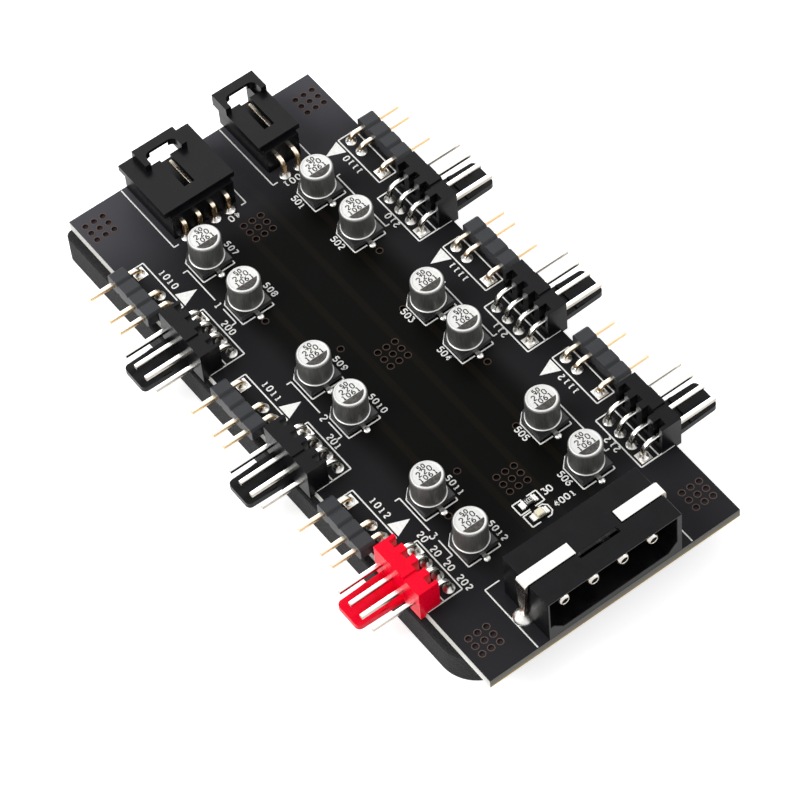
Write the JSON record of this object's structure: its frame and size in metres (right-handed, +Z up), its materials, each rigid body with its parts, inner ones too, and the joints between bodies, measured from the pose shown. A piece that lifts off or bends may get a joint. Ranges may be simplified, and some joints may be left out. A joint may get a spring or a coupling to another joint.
{
  "type": "pc fan controller hub",
  "caption": "Flat black circuit board on a foam pad, with fan and lighting headers along its long sides, and latching input sockets and a power inlet at its ends.",
  "frame": {"origin": "centre of the board's plan, on the plane of the foam pad's lower face", "axes": "+X along the board towards the power inlet, +Y across the board, +Z up from the pad to the headers"},
  "size_m": [0.101, 0.0608, 0.0161],
  "materials": {
    "solder_mask_black": "black solder mask over glass-fibre laminate, satin",
    "foam_black": "closed-cell foam, matt",
    "nylon_black": "moulded, satin",
    "nylon_red": "moulded, satin",
    "gold_plate": "gold flash on brass",
    "tin_plate": "bright tin plate",
    "can_aluminium": "drawn, satin",
    "base_plastic": "moulded",
    "resistor_ceramic": "glazed, with tinned ends",
    "lamp_resin": "clear resin over a cream carrier"
  },
  "bodies": {
    "root": {"capacitor_base_1": "base_plastic", "capacitor_base_10": "base_plastic", "capacitor_base_11": "base_plastic", "capacitor_base_12": "base_plastic", "capacitor_base_2": "base_plastic", "capacitor_base_3": "base_plastic", "capacitor_base_4": "base_plastic", "capacitor_base_5": "base_plastic", "capacitor_base_6": "base_plastic", "capacitor_base_7": "base_plastic", "capacitor_base_8": "base_plastic", "capacitor_base_9": "base_plastic", "capacitor_can_1": "can_aluminium", "capacitor_can_10": "can_aluminium", "capacitor_can_11": "can_aluminium", "capacitor_can_12": "can_aluminium", "capacitor_can_2": "can_aluminium", "capacitor_can_3": "can_aluminium", "capacitor_can_4": "can_aluminium", "capacitor_can_5": "can_aluminium", "capacitor_can_6": "can_aluminium", "capacitor_can_7": "can_aluminium", "capacitor_can_8": "can_aluminium", "capacitor_can_9": "can_aluminium", "capacitor_terminals": "tin_plate", "circuit_board": "solder_mask_black", "fan_header_left_1": "nylon_black", "fan_header_left_2": "nylon_black", "fan_header_left_3": "nylon_red", "fan_header_right_1": "nylon_black", "fan_header_right_2": "nylon_black", "fan_header_right_3": "nylon_black", "fan_pins_left_1": "tin_plate", "fan_pins_left_2": "tin_plate", "fan_pins_left_3": "tin_plate", "fan_pins_right_1": "tin_plate", "fan_pins_right_2": "tin_plate", "fan_pins_right_3": "tin_plate", "foam_pad": "foam_black", "input_pins_2_way": "gold_plate", "input_pins_4_way": "gold_plate", "input_socket_2_way": "nylon_black", "input_socket_4_way": "nylon_black", "lamp": "lamp_resin", "power_pins": "tin_plate", "power_socket": "nylon_black", "power_straps": "tin_plate", "resistor": "resistor_ceramic", "rgb_header_left_1": "nylon_black", "rgb_header_left_2": "nylon_black", "rgb_header_left_3": "nylon_black", "rgb_header_right_1": "nylon_black", "rgb_header_right_2": "nylon_black", "rgb_header_right_3": "nylon_black", "rgb_pins_left_1": "gold_plate", "rgb_pins_left_2": "gold_plate", "rgb_pins_left_3": "gold_plate", "rgb_pins_right_1": "gold_plate", "rgb_pins_right_2": "gold_plate", "rgb_pins_right_3": "gold_plate"}
  },
  "joints": []
}
